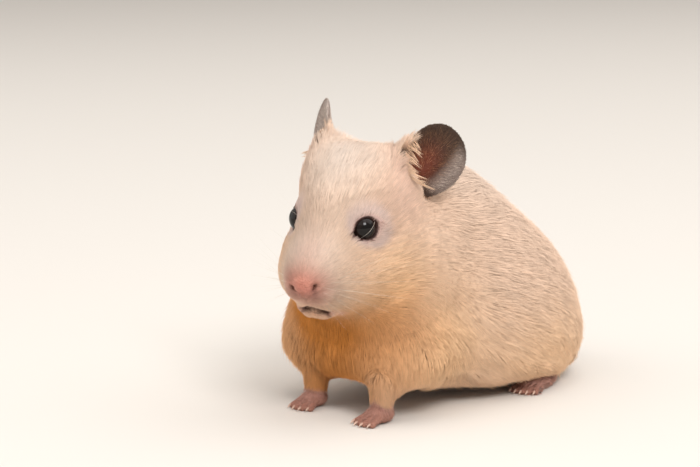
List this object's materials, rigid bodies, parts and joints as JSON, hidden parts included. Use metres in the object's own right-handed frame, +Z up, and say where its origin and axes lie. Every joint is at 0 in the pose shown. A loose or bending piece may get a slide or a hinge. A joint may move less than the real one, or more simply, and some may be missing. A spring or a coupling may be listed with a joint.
{
  "type": "syrian hamster",
  "caption": "Cream Syrian hamster, life size, crouched on all fours with its head raised and turned slightly to its left: plump pear-shaped body, upright round ears, stub tail.",
  "frame": {"origin": "middle of the floor under the animal: the bottom centre of its bounding box", "axes": "+Z up; +Y runs back along the body from nose to tail, so the animal faces -Y; +X is its left side"},
  "size_m": [0.0568, 0.1092, 0.0748],
  "materials": {
    "fur": "soft dense matt coat, cream on the head and back, warmer tan on the chest and sides",
    "skin": "bare pink skin, satin",
    "ear": "thin dark grey-brown skin under fine pale hairs",
    "eye": "wet gloss black"
  },
  "bodies": {
    "root": {"hind_foot_left": "skin", "hind_foot_right": "skin", "tail": "skin", "forepaw_left": "skin", "forearm_left": "fur", "forepaw_right": "skin", "forearm_right": "fur", "upper_arm_left": "fur", "upper_arm_right": "fur", "thigh_left": "fur", "thigh_right": "fur", "trunk": "fur", "neck": "fur", "ear_left": "ear", "ear_right": "ear", "eye_left": "eye", "eye_right": "eye", "nose": "skin", "head": "fur"}
  },
  "joints": []
}
